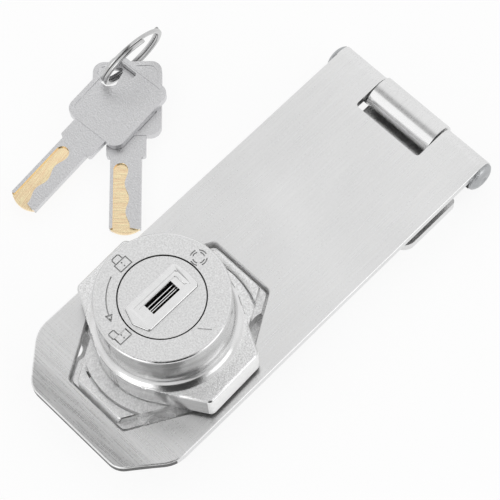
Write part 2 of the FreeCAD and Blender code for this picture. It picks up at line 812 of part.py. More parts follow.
def flat_key():
    """Key in its own frame: far edge of the bow at x = 0, blade towards +x, underside at z = 0."""
    low = key_rim_height
    high = low + key_thick
    half = key_bow_width / 2
    bow = prism([(0, -half, key_bow_radius), (key_bow_length, -half, key_bow_radius),
                 (key_bow_length, half, key_bow_radius), (0, half, key_bow_radius)], 0, key_bow_thick)
    inner = half - key_rim
    radius = key_bow_radius - key_rim / 2
    for level in (-OVER, high):
        bow = bow.cut(prism([(key_rim, -inner, radius), (key_bow_length - key_rim, -inner, radius),
                             (key_bow_length - key_rim, inner, radius), (key_rim, inner, radius)],
                            level, level + OVER + low))
    neck = key_neck_width / 2
    blade = key_blade_width / 2
    neck_bar = prism([(key_bow_length - key_bow_radius, -neck, 0), (key_neck_end, -neck, 0.5),
                      (key_neck_end, neck, 0.5), (key_bow_length - key_bow_radius, neck, 0)], low, high)
    shoulder = key_length - key_tip_bulge
    tip = [V(key_neck_end - OVER, -blade, 0), V(shoulder, -blade, 0), V(key_length, 0, 0), V(shoulder, blade, 0),
           V(key_neck_end - OVER, blade, 0)]
    edges = [Part.LineSegment(tip[0], tip[1]).toShape(), Part.Arc(tip[1], tip[2], tip[3]).toShape(),
             Part.LineSegment(tip[3], tip[4]).toShape(), Part.LineSegment(tip[4], tip[0]).toShape()]
    face = Part.Face(Part.Wire(edges))
    face.translate(V(0, 0, low))
    blade_bar = face.extrude(V(0, 0, key_thick))
    body = fuse([bow, neck_bar, blade_bar])
    top_track = key_track(high - track_depth, high + OVER)
    under_track = top_track.copy()
    under_track.rotate(V(0, 0, key_bow_thick / 2), ALONG_X, 180)
    body = body.cut(top_track).cut(under_track)
    bend = key_hole_near + key_hole_slope
    hole = prism([(key_hole_start, -key_hole_far, key_hole_radius), (key_hole_end, -key_hole_far, key_hole_radius),
                  (key_hole_end, -bend - key_hole_slope / 2, key_hole_radius),
                  (key_hole_end - OVER, -bend, key_hole_radius), (key_hole_slot, -key_hole_near, key_hole_radius),
                  (key_hole_start, -key_hole_near, key_hole_radius)], -OVER, key_bow_thick + OVER)
    return body.cut(hole)


def laid_keys():
    """Both keys as they lie: the ring props up the bows, the back key's tip is on the surface."""
    tilt = math.degrees(math.asin(key_prop / key_length))
    keys = []
    places = ((back_key_x, back_key_y, back_key_angle, 0.0),
              (front_key_x, front_key_y, front_key_angle, key_bow_thick))
    turn = math.radians(back_key_angle)
    for x, y, angle, level in places:
        key = flat_key()
        offset = V(x - back_key_x, y - back_key_y, 0)
        local_x = offset.x * math.cos(turn) + offset.y * math.sin(turn)
        local_y = -offset.x * math.sin(turn) + offset.y * math.cos(turn)
        key.rotate(ORIGIN, UP, angle - back_key_angle)
        key.translate(V(local_x, local_y, level))
        key.rotate(V(key_length, 0, key_rim_height), ALONG_Y, tilt)
        key.translate(V(0, 0, -key_rim_height))
        key.rotate(ORIGIN, UP, back_key_angle)
        key.translate(V(back_key_x, back_key_y, 0))
        keys.append(key)
    return keys


def key_ring():
    """Split ring: a flat wire coiled almost twice, standing on its edge."""
    radius = ring_outer - ring_wire_width / 2
    helix = Part.makeHelix(ring_pitch, ring_pitch * ring_coil_count, radius)
    section = wire_section(radius, ring_wire_width / 2, ring_wire_thick / 2)
    coil = Part.Wire(helix.Edges).makePipeShell([section], True, True)
    coil.translate(V(0, 0, -ring_pitch * ring_coil_count / 2))
    coil = coil.mirror(ORIGIN, UP)
    coil.rotate(ORIGIN, UP, ring_start_angle)
    coil.rotate(ORIGIN, ALONG_X, 90 + ring_lean_angle)
    coil.rotate(ORIGIN, UP, ring_turn_angle)
    lean = math.radians(ring_lean_angle)
    half_thick = (ring_pitch * ring_coil_count + ring_wire_thick) / 2
    coil.translate(V(ring_x, ring_y, ring_outer * math.cos(lean) + half_thick * math.sin(lean)))
    return coil


def main():
    """Build and write every node."""
    back_key, front_key = laid_keys()
    export("hasp_strap", hasp_strap())
    export("hinge_leaf", hinge_leaf())
    export("hinge_pin", hinge_pin())
    export("lock_base", lock_base())
    export("bearing_plate", bearing_plate())
    export("bearing_screws", bearing_screws())
    export("friction_washer", friction_washer())
    export("knob", knob())
    export("hub_retainer", hub_retainer())
    export("retainer_screws", retainer_screws())
    export("bolt_guide", bolt_guide())
    export("locking_bolt", locking_bolt())
    export("tail_cam", tail_cam())
    export("cam_screw", cam_screw())
    export("plug", plug())
    export("wafers", wafers())
    export("wafer_spring_strip", wafer_spring_strip())
    export("plug_face", plug_face())
    export("dust_shutter", dust_shutter())
    export("detent_ball", detent_ball())
    export("detent_spring", detent_spring())
    export("key_1", front_key)
    export("key_2", back_key)
    export("key_ring", key_ring())


main()
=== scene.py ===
import json
import math

import bmesh
import bpy
from mathutils import Matrix, Quaternion, Vector

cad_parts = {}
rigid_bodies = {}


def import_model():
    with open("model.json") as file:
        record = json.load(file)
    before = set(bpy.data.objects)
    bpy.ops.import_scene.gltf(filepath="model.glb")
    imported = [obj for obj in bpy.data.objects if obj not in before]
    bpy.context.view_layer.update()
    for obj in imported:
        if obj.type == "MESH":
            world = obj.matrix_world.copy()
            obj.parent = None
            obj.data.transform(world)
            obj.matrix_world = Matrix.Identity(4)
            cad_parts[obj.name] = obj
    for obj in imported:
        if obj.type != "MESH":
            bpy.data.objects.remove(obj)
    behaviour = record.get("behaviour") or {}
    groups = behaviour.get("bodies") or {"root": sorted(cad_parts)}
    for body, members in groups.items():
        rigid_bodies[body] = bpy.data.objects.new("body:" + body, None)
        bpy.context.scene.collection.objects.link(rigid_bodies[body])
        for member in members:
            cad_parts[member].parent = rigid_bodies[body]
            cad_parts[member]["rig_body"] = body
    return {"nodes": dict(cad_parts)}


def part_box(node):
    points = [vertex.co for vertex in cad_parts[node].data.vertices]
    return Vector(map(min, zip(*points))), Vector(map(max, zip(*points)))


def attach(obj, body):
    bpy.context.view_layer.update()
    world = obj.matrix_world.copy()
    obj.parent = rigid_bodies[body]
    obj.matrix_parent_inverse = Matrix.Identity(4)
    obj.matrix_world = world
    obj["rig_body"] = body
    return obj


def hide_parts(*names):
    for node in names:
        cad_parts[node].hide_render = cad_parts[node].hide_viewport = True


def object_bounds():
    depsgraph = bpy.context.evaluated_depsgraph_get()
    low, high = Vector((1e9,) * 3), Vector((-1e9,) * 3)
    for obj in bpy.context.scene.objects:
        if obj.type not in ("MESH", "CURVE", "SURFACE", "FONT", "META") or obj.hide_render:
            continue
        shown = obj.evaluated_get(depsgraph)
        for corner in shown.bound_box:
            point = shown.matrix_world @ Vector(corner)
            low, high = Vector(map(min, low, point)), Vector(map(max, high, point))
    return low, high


bl_info = {
    "name": "Hasp lock with a twist knob",
    "version": (1, 0, 0),
    "blender": (4, 5, 0),
    "location": "View3D > Sidebar > Hasp lock",
    "description": "Finishes a keyed twist-knob hasp lock, its keys and their studio",
    "category": "Object",
}

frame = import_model()
CAD_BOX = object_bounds()
HEAD_TOP = max(v.co.z for v in frame["nodes"]["knob"].data.vertices)
PLUG_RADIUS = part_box("plug")[1].x
FACE_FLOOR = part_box("plug_face")[0].z
MM = 0.001
IMAGE = 500

# Limits for closing seams, merging flat faces and smoothing rounds

SEAM = 2e-6
COPLANAR = math.radians(0.4)
SMOOTH = math.radians(32.0)
FLAT_RATIO = 2.5

# Limits that choose a face's finish: how steep a wall is, and where each region starts

WALL = 0.2
STEEP = 0.5
LEVEL = 0.9
SIGNS_REACH = 13.2 * MM
SIGNS_FRONT = -9 * MM
BORE_MARGIN = 0.5 * MM
FLANGE_END = 18 * MM
FLANGE_DROP = 4 * MM
OPENING_X = 22 * MM
OPENING_Y = 18 * MM
FREE_END_X = -15 * MM
KNUCKLE_Z = 4.5 * MM
BASE_WALL_Z = 2 * MM
PLUG_RIM = 7.5 * MM
FACE_MARGIN = 0.1 * MM
TRACK_DEPTH = 0.55 * MM

# The ring's wire: points round it, steps along it, and how square its section is

WIRE_POINTS = 24
WIRE_STEPS = 150
WIRE_CORNER = 0.6

# The studio's floor, lamps, dim patch and gap

FLOOR_SIZE = 6.0
FLOOR_DROP = 0.1 * MM
FLOOR_GLOW = 0.88
LAMPS = {"side_lamp": (-0.75, -0.1, 0.2), "front_lamp": (0.25, -0.8, 0.3)}
LAMP_SIZE = 0.5
LAMP_POWER = 12.0
LAMP_AIM = Vector((0.02, 0.01, 0.01))
DIM_AZIMUTH = math.radians(207)
DIM_ELEVATION = math.radians(70)
DIM_CORE = math.radians(10)
DIM_EDGE = math.radians(20)
GAP_SPREAD = 0.42


# Sizes and colours that a user would change

def length(name, text, millimetres):
    """A length property, stored in metres."""
    return bpy.props.FloatProperty(name=name, description=text, default=millimetres * MM,
                                   unit="LENGTH", precision=5)


def angle(name, text, degrees):
    """An angle property, stored in radians."""
    return bpy.props.FloatProperty(name=name, description=text, default=math.radians(degrees),
                                   unit="ROTATION")


def number(name, text, value):
    """A plain number property."""
    return bpy.props.FloatProperty(name=name, description=text, default=value)


def colour(name, text, value):
    """A plain colour property."""
    return bpy.props.FloatVectorProperty(name=name, description=text, default=value, size=3,
                                         subtype="COLOR", min=0.0, max=1.0)


class HaspLockSizes(bpy.types.PropertyGroup):
    """Sizes of the details that are added to the CAD pieces."""

    stroke: length("Stroke", "Width of the engraved lines on the head", 0.25)
    stroke_depth: length("Stroke depth", "How deep the lines are engraved", 0.22)
    padlock: length("Padlock sign", "Width of a padlock sign's body", 2.95)
    arc_radius: length("Arrow radius", "Radius of the curved arrow on the head", 10.95)
    turn_radius: length("Turn sign", "Radius of the ring in the turn sign", 1.17)
    droop: length("Droop", "How far the strap's free end is bent down", 0.60)
    droop_run: length("Droop's run", "Length of the bent free end", 6.5)
    ring_outer: length("Ring radius", "Outer radius of the split ring", 8.4)
    ring_wire_width: length("Ring wire's width", "Width of the ring's flat wire, along its radius", 1.1)
    ring_wire_thick: length("Ring wire's thickness", "Thickness of the ring's flat wire", 0.8)
    ring_pitch: length("Ring pitch", "Rise of the ring's coil in one turn", 0.85)
    ring_turns: number("Ring turns", "Turns in the split ring", 1.83)
    ring_start: angle("Ring start", "Where the ring's wire starts", 75.0)
    ring_lean: angle("Ring lean", "How far the ring leans over", 12.7)
    ring_turn: angle("Ring turn", "Turn of the ring about the vertical", -2.7)
    ring_x: length("Ring X", "Middle of the ring", 39.5)
    ring_y: length("Ring Y", "Middle of the ring", 52.15)


class HaspLockColours(bpy.types.PropertyGroup):
    """Colours of the finishes."""

    steel: colour("Steel", "Brushed strap and leaf", (0.74, 0.74, 0.74))
    casting: colour("Casting", "Sand-blasted tops of the castings", (0.69, 0.69, 0.69))
    polished: colour("Polished", "Polished plates and the castings' sides", (0.90, 0.90, 0.90))
    key: colour("Key", "Matt nickel of the keys", (0.69, 0.69, 0.70))
    track: colour("Track", "Bare metal in the keys' milled track", (1.0, 0.75, 0.48))
    wire: colour("Wire", "Wire of the split ring", (0.55, 0.55, 0.55))
    inner: colour("Inner steel", "Steel pieces inside the lock, and the hinge pin", (0.45, 0.46, 0.47))
    brass: colour("Brass", "Brass pieces inside the lock", (0.60, 0.44, 0.18))


class HaspLockStudio(bpy.types.PropertyGroup):
    """Camera and light."""

    azimuth: angle("Azimuth", "Camera's direction round the lock", 319.41)
    elevation: angle("Elevation", "Camera's height above the horizon", 66.25)
    roll: angle("Roll", "Camera's turn about its own view line", -5.15)
    distance: length("Distance", "Camera's distance from its target", 408.9)
    target_x: length("Target X", "Where the camera looks", 25.54)
    target_y: length("Target Y", "Where the camera looks", 2.30)
    target_z: length("Target Z", "Where the camera looks", 5.0)
    focal: number("Focal length", "Lens, in pixels of the picture", 1952.6)
    sky: number("Sky", "Strength of the light from all round", 1.0)
    gap_turn: angle("Gap's turn", "How far the tent's gap is turned away from the camera", 8.0)
    gap_level: number("Gap's level", "Brightness seen in the tent's gap", 0.06)
    tent_dim: number("Dim patch", "Brightness of the tent's small dim patch", 0.4)
    lamp: number("Lamp", "Strength of the soft lamps", 0.06)


# Shader maths

class Value:
    """A shader socket. Python's operators on it add Math nodes."""

    def __init__(self, graph, socket):
        self.graph = graph
        self.socket = socket

    def __add__(self, other):
        return self.graph.math("ADD", self, other)

    def __sub__(self, other):
        return self.graph.math("SUBTRACT", self, other)

    def __rsub__(self, other):
        return self.graph.math("SUBTRACT", other, self)

    def __mul__(self, other):
        return self.graph.math("MULTIPLY", self, other)

    __radd__ = __add__


class Graph:
    """A node tree, with one method that adds any node."""

    def __init__(self, tree):
        self.tree = tree
        tree.nodes.clear()

    def node(self, kind, settings=(), inputs=()):
        """Add a node. Its settings are made first, then the values or links of its sockets."""
        made = self.tree.nodes.new(kind)
        for name, value in dict(settings).items():
            if name == "stops":
                ramp = made.color_ramp
                while len(ramp.elements) < len(value):
                    ramp.elements.new(0.5)
                for element, (place, shade) in zip(ramp.elements, value):
                    element.position = place
                    element.color = (shade, shade, shade, 1.0)
            else:
                setattr(made, name, value)
        for name, value in dict(inputs).items():
            socket = made.inputs[name]
            if isinstance(value, Value):
                self.tree.links.new(value.socket, socket)
            else:
                socket.default_value = value
        return made

    def take(self, made, name=0):
        """An output of a node, ready for maths."""
        return Value(self, made.outputs[name])

    def math(self, operation, *values):
        """A Math node."""
        return self.take(self.node("ShaderNodeMath", {"operation": operation}, enumerate(values)))

    def place(self):
        """Object coordinates."""
        return self.take(self.node("ShaderNodeTexCoord"), "Object")

    def across(self):
        """The X coordinate, in metres."""
        return self.take(self.node("ShaderNodeSeparateXYZ", (), {0: self.place()}), "X")

    def facing(self):
        """How far the surface faces straight up or down, from 0 to 1."""
        normal = self.take(self.node("ShaderNodeTexCoord"), "Normal")
        z = self.take(self.node("ShaderNodeSeparateXYZ", (), {0: normal}), "Z")
        return self.math("ABSOLUTE", z)

    def noise(self, scale, detail=2.0, roughness=0.5, stretch=(1, 1, 1), turn=0.0):
        """Noise on the object, stretched along its axes."""
        where = self.node("ShaderNodeMapping", {"vector_type": "TEXTURE"},
                          {"Vector": self.place(), "Scale": tuple(1 / s for s in stretch),
                           "Rotation": (0, 0, turn)})
        made = self.node("ShaderNodeTexNoise", (), {"Vector": self.take(where), "Scale": scale,
                                                    "Detail": detail, "Roughness": roughness})
        return self.take(made, 0)

    def ramp(self, value, *stops):
        """A ramp between grey levels, read at a value."""
        return self.take(self.node("ShaderNodeValToRGB", {"stops": stops}, {0: value}))

    def mix(self, factor, first, second):
        """Colour between two others."""
        made = self.node("ShaderNodeMix", {"data_type": "RGBA"},
                         {"Factor": factor, 6: first, 7: second})
        return self.take(made, 2)

    def bump(self, height, distance, strength):
        """Normal that a height gives."""
        return self.take(self.node("ShaderNodeBump", (), {"Height": height, "Distance": distance,
                                                          "Strength": strength}))


def shade(value, level):
    """A colour for a socket, made lighter or darker."""
    return (*[min(1.0, c * level) for c in value], 1.0)


def metal(name, base, roughness, bump):
    """Make a metal's finish from what varies over it."""
    material = bpy.data.materials.new(name)
    material.use_nodes = True
    graph = Graph(material.node_tree)
    inputs = {"Base Color": base(graph), "Roughness": roughness(graph), "Normal": bump(graph),
              "Metallic": 1.0}
    surface = graph.node("ShaderNodeBsdfPrincipled", (), inputs)
    graph.node("ShaderNodeOutputMaterial", (), {"Surface": graph.take(surface)})
    return material


def brushed_steel(colours):
    """Stainless sheet, lightly brushed along the strap and clearly across its free end."""
    def lines(graph):
        along = graph.noise(1.0, 3.0, 0.6, (90, 4200, 4200))
        across = graph.noise(1.0, 3.0, 0.6, (3600, 110, 3600))
        end = graph.ramp(graph.across() * 20.0 + 0.5, (0.12, 1.0), (0.30, 0.0))
        grain = graph.noise(2600.0, 2.0, 0.7)
        return grain * 0.3 + (along - 0.5) * (0.55 - end * 0.45) + (across - 0.5) * (0.1 + end * 1.1) + 0.35

    def base(graph):
        cloud = graph.noise(45.0, 2.0)
        return graph.mix(graph.ramp(lines(graph) * 0.7 + cloud * 0.3, (0.35, 0.0), (0.65, 1.0)),
                         shade(colours.steel, 0.90), shade(colours.steel, 1.10))

    return metal("brushed_steel", base, lambda graph: graph.ramp(lines(graph), (0.3, 0.24), (0.7, 0.36)),
                 lambda graph: graph.bump(lines(graph), 0.00002, 0.5))


def casting(colours, name, level, grain):
    """Zinc casting: speckled and sand-blasted where it faces up, polished on its sides and darkened there
    as painted shade.
    """
    def grains(graph):
        return graph.noise(2900.0, 3.0, 0.7)

    def flat(graph):
        return graph.ramp(graph.facing(), (0.90, 0.0), (0.99, 1.0))

    def base(graph):
        top = graph.mix(graph.ramp(grains(graph), (0.36, 0.0), (0.64, 1.0)),
                        shade(colours.casting, level * (1.0 - 0.14 * grain)),
                        shade(colours.casting, level * (1.0 + 0.10 * grain)))
        rubbed = graph.ramp(graph.noise(1.0, 3.0, 0.55, (110, 110, 700)), (0.34, 0.0), (0.66, 1.0))
        # Painted shade: the sides take the polished colour at 0.64 to 0.84 of its level, darker than the
        # tops.
        side = graph.mix(rubbed, shade(colours.polished, 0.64), shade(colours.polished, 0.84))
        return graph.mix(flat(graph), side, top)

    def roughness(graph):
        return 0.13 + graph.noise(650.0, 2.0) * 0.08 + flat(graph) * (0.15 + grains(graph) * 0.12)

    def height(graph):
        return grains(graph) * (flat(graph) * 0.85 + 0.15)

    return metal(name, base, roughness, lambda graph: graph.bump(height(graph), 0.00007, 0.8 * grain))


def polished(colours, name, level):
    """Polished plate with a trace of handling."""
    return metal(name, lambda graph: graph.mix(graph.noise(260.0, 3.0),
                                               shade(colours.polished, 0.95 * level),
                                               shade(colours.polished, 1.05 * level)),
                 lambda graph: graph.ramp(graph.noise(900.0, 4.0), (0.3, 0.14), (0.7, 0.24)),
                 lambda graph: graph.bump(graph.noise(700.0, 2.0), 0.00002, 0.3))


def matt_wall(name, level):
    """Matt wall, as the punch leaves round the strap and the mould at the castings' ends; its level carries
    painted light and shade.
    """
    return metal(name, lambda graph: graph.mix(graph.noise(1500.0, 3.0), shade((level,) * 3, 0.93),
                                               shade((level,) * 3, 1.07)),
                 lambda graph: graph.ramp(graph.noise(900.0, 3.0), (0.3, 0.55), (0.7, 0.7)),
                 lambda graph: graph.bump(graph.noise(1900.0), 0.00004, 0.5))


def key_nickel(colours):
    """Matt nickel plating with fine grain."""
    return metal("key_nickel", lambda graph: graph.mix(graph.noise(3000.0, 3.0, 0.7),
                                                       shade(colours.key, 0.80),
                                                       shade(colours.key, 1.20)),
                 lambda graph: graph.ramp(graph.noise(2400.0, 2.0), (0.3, 0.26), (0.7, 0.40)),
                 lambda graph: graph.bump(graph.noise(3000.0, 3.0), 0.00006, 0.9))


def key_track(colours, node, turn):
    """Bare metal of a key's milled track, with the cutter's lines across it."""
    def cuts(graph):
        lines = graph.noise(1.0, 2.0, 0.5, (3400, 300, 300), turn)
        return lines * 0.75 + graph.noise(2400.0, 2.0) * 0.25

    def base(graph):
        return graph.mix(graph.ramp(cuts(graph), (0.38, 0.0), (0.62, 1.0)),
                         shade(colours.track, 0.92), shade(colours.track, 1.14))

    return metal(node + "_track", base, lambda graph: graph.ramp(cuts(graph), (0.3, 0.18), (0.7, 0.28)),
                 lambda graph: graph.bump(cuts(graph), 0.00006, 0.8))


def wire(colours):
    """Bright drawn wire."""
    return metal("bright_wire", lambda graph: graph.mix(graph.noise(500.0, 2.0),
                                                        shade(colours.wire, 0.85),
                                                        shade(colours.wire, 1.15)),
                 lambda graph: graph.ramp(graph.noise(1500.0, 2.0), (0.3, 0.12), (0.7, 0.22)),
                 lambda graph: graph.bump(graph.noise(1800.0, 2.0), 0.00002, 0.3))


def inner_metal(name, value):
    """Plain turned or stamped metal, for the pieces inside the lock and the hinge pin."""
    return metal(name, lambda graph: graph.mix(graph.noise(900.0, 3.0), shade(value, 0.85),
                                               shade(value, 1.1)),
                 lambda graph: graph.ramp(graph.noise(1300.0, 3.0), (0.3, 0.30), (0.7, 0.45)),
                 lambda graph: graph.bump(graph.noise(2600.0, 2.0), 0.00003, 0.5))


def painted_shade_metal(name, level):
    """Painted shade: dull dark metal for slots, gaps and engraved lines."""
    return metal(name, lambda graph: graph.mix(graph.noise(900.0), shade((level,) * 3, 0.7),
                                               shade((level,) * 3, 1.3)),
                 lambda graph: graph.ramp(graph.noise(1300.0), (0.3, 0.5), (0.7, 0.65)),
                 lambda graph: graph.bump(graph.noise(2600.0), 0.00003, 0.5))


# Modelling helpers

def only(*pieces):
    """Select these objects and nothing else."""
    for other in list(bpy.context.selected_objects):
        other.select_set(False)
    for piece in pieces:
        piece.select_set(True)
    bpy.context.view_layer.objects.active = pieces[0]


def edit(piece):
    """Go into edit mode with the whole mesh selected."""
    only(piece)
    bpy.ops.object.mode_set(mode="EDIT")
    bpy.ops.mesh.select_all(action="SELECT")


def leave():
    """Go back to object mode."""
    bpy.ops.object.mode_set(mode="OBJECT")


def modify(piece, kind, **settings):
    """Add a modifier and apply it."""
    only(piece)
    modifier = piece.modifiers.new(kind.lower(), kind)
    for name, value in settings.items():
        setattr(modifier, name, value)
    bpy.ops.object.modifier_apply(modifier=modifier.name)


def settle(piece):
    """Put the piece's place into its mesh, so that its object sits at the origin."""
    only(piece)
    bpy.ops.object.transform_apply(location=True, rotation=True, scale=True)


def finished_copy(node):
    """A CAD node's copy with its seams closed and its rounds smooth."""
    source = frame["nodes"][node]
    piece = bpy.data.objects.new(node + "_finished", source.data.copy())
    bpy.context.scene.collection.objects.link(piece)
    piece.data.materials.clear()
    edit(piece)
    bpy.ops.mesh.remove_doubles(threshold=SEAM)
    leave()
    round_shading(piece)
    return piece


def flat_faces(piece):
    """Faces much larger than every neighbour that they run into smoothly."""
    work = bmesh.new()
    work.from_mesh(piece.data)
    flats = []
    for face in work.faces:
        others = [other for edge in face.edges for other in edge.link_faces
                  if other is not face and COPLANAR < edge.calc_face_angle(0.0) < SMOOTH]
        if all(face.calc_area() > FLAT_RATIO * other.calc_area() for other in others):
            flats.append(face.index)
    work.free()
    return flats


def round_shading(piece):
    """Merge the coplanar faces, smooth the rounds and keep the flats flat."""
    edit(piece)
    bpy.ops.mesh.dissolve_limited(angle_limit=COPLANAR, use_dissolve_boundaries=False)
    bpy.ops.mesh.select_all(action="DESELECT")
    leave()
    only(piece)
    bpy.ops.object.shade_smooth_by_angle(angle=SMOOTH)
    for index in flat_faces(piece):
        piece.data.polygons[index].select = True
    bpy.ops.object.mode_set(mode="EDIT")
    bpy.ops.mesh.mod_weighted_strength(set=True, face_strength="STRONG")
    bpy.ops.mesh.select_all(action="INVERT")
    bpy.ops.mesh.mod_weighted_strength(set=True, face_strength="WEAK")
    leave()
    modify(piece, "WEIGHTED_NORMAL", keep_sharp=True, use_face_influence=True)


def hand_over(piece, node):
    """The piece rides with its CAD node's body and stands for the node."""
    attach(piece, frame["nodes"][node]["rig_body"])
    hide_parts(node)


def dress(node, material):
    """Give a CAD node its finish."""
    target = frame["nodes"][node].data
    target.materials.clear()
    target.materials.append(material)


def dress_faces(piece, finishes, choose):
    """Give a piece its finishes, and each face the one that is chosen for it."""
    piece.data.materials.clear()
    for finish in finishes:
        piece.data.materials.append(bpy.data.materials[finish])
    for face in piece.data.polygons:
        face.material_index = finishes.index(choose(face))


def box_piece(name, centre, size, turn):
    """A box of the given size, turned about the vertical."""
    bpy.ops.mesh.primitive_cube_add(size=1.0, location=centre, rotation=(0, 0, turn), scale=size)
    piece = bpy.context.active_object
    piece.name = name
    settle(piece)
    return piece


def swept(name, corners, centre, turned, steps):
    """A flat section spun about the vertical through a centre."""
    bpy.ops.mesh.primitive_plane_add(size=1.0)
    piece = bpy.context.active_object
    piece.name = name
    for vertex, corner in zip(piece.data.vertices, (corners[0], corners[1], corners[3], corners[2])):
        vertex.co = corner
    edit(piece)
    bpy.ops.mesh.spin(steps=steps, angle=-turned, center=centre, axis=(0, 0, 1))
    bpy.ops.mesh.select_all(action="SELECT")
    bpy.ops.mesh.remove_doubles(threshold=SEAM)
    bpy.ops.mesh.normals_make_consistent(inside=False)
    leave()
    return piece


# Engraved signs on the head

def stroke_bar(sizes, start, end):
    """A straight cutter from one plan point to another."""
    a = Vector((*start, 0))
    b = Vector((*end, 0))
    run = b - a
    centre = (a + b) / 2
    centre.z = HEAD_TOP
    return box_piece("stroke", centre, (run.length + sizes.stroke, sizes.stroke, 2 * sizes.stroke_depth),
                     math.atan2(run.y, run.x))


def stroke_arc(sizes, centre, radius, start, turned):
    """A curved cutter: part of a ring round a plan point."""
    half = sizes.stroke / 2
    low = HEAD_TOP - sizes.stroke_depth
    high = HEAD_TOP + sizes.stroke_depth
    along = Vector((math.cos(start), math.sin(start), 0))
    middle = Vector((*centre, 0))
    corners = [middle + along * (radius + side) + Vector((0, 0, z))
               for side, z in ((-half, low), (half, low), (half, high), (-half, high))]
    steps = max(4, int(abs(turned) * radius / sizes.stroke))
    return swept("stroke_arc", corners, middle, turned, steps)


def closed_line(sizes, corners):
    """Cutters round a closed outline."""
    return [stroke_bar(sizes, corners[i - 1], corners[i]) for i in range(len(corners))]


def padlock_strokes(sizes, x, y, shackle, wide):
    """Outline of a padlock: a body, a shackle at its own place, and a keyhole of two dots."""
    half = sizes.padlock / 2
    tall = sizes.padlock * 0.63
    top = y + tall / 2
    cutters = closed_line(sizes, [(x - half, top - tall), (x + half, top - tall), (x + half, top),
                                  (x - half, top)])
    left = shackle - wide / 2
    right = shackle + wide / 2
    bend = wide * 0.22
    high = top + sizes.padlock * 0.46
    for start, end in (((left, top), (left, high - bend)),
                       ((left + bend, high), (right - bend, high)),
                       ((right, high - bend), (right, top))):
        cutters.append(stroke_bar(sizes, start, end))
    cutters.append(stroke_arc(sizes, (right - bend, high - bend), bend, 0.0, math.pi / 2))
    cutters.append(stroke_arc(sizes, (left + bend, high - bend), bend, math.pi / 2, math.pi / 2))
    dot = 0.05 * MM
    for step in (-0.4 * MM, 0.4 * MM):
        cutters.append(stroke_bar(sizes, (x, y + step), (x, y + step + dot)))
    return cutters


def turn_strokes(sizes, x, y):
    """A broken ring with a wider broken ring round it, for turning."""
    cutters = [stroke_arc(sizes, (x, y), sizes.turn_radius, math.radians(start), math.radians(60))
               for start in (-30, 60, 150, 240)]
    outer = sizes.turn_radius * 1.42
    for start, turned in ((67, 53), (-18, 60), (-112, 62), (160, 53)):
        cutters.append(stroke_arc(sizes, (x, y), outer, math.radians(start), math.radians(turned)))
    return cutters


def arrow_strokes(sizes):
    """The curved arrow between the two padlocks, with an outlined head."""
    radius = sizes.arc_radius
    start = math.radians(111)
    end = math.radians(155)
    length_of_head = 1.3 * MM
    half_of_head = 0.62 * MM
    along = Vector((math.cos(end), math.sin(end)))
    heading = Vector((-along.y, along.x))
    shoulder = along * radius
    tip = shoulder + heading * length_of_head
    cutters = [stroke_arc(sizes, (0, 0), radius, start, end - start)]
    return cutters + closed_line(sizes, [tip, shoulder + along * half_of_head,
                                         shoulder - along * half_of_head])


class HASPLOCK_OT_knob(bpy.types.Operator):
    """Knob with engraved signs on its head"""

    bl_idname = "hasplock.knob"
    bl_label = "Knob"

    def execute(self, context):
        sizes = context.scene.hasplock_sizes
        cutters = padlock_strokes(sizes, x=-0.47 * MM, y=10.48 * MM, shackle=-0.62 * MM, wide=1.85 * MM)
        cutters += padlock_strokes(sizes, x=-11.05 * MM, y=-0.45 * MM, shackle=-12.1 * MM, wide=1.4 * MM)
        cutters += turn_strokes(sizes, x=10.8 * MM, y=0.75 * MM)
        cutters += arrow_strokes(sizes)
        cutters.append(stroke_bar(sizes, start=(0.25 * MM, -9.85 * MM), end=(1.85 * MM, -11.85 * MM)))
        knob = finished_copy("knob")
        for cutter in cutters:
            modify(knob, "BOOLEAN", operation="DIFFERENCE", object=cutter, solver="EXACT")
            bpy.data.objects.remove(cutter)
        round_shading(knob)
        knob.name = "knob_engraved"
        finishes = ("blasted_casting", "dark_recess", "engraved_line", "pale_wall", "pale_casting")
        dress_faces(knob, finishes, lambda face: self.finish_of(face, sizes.stroke_depth))
        hand_over(knob, "knob")
        return {"FINISHED"}

    def finish_of(self, face, stroke_depth):
        """Painted shade in the bore and the signs, but not in the dash in front. Painted light on the
        flange.
        """
        place = face.center
        inside = math.hypot(place.x, place.y)
        under_top = place.z < HEAD_TOP - 0.2 * stroke_depth
        if under_top and inside < PLUG_RADIUS + BORE_MARGIN:
            return "dark_recess"
        in_stroke = under_top and place.z > HEAD_TOP - 1.1 * stroke_depth
        if in_stroke and inside < SIGNS_REACH and place.y > SIGNS_FRONT:
            return "engraved_line"
        if abs(place.y) > FLANGE_END and abs(face.normal.z) < STEEP:
            return "pale_wall"
        if place.z < HEAD_TOP - FLANGE_DROP and face.normal.z > LEVEL:
            return "pale_casting"
        return "blasted_casting"


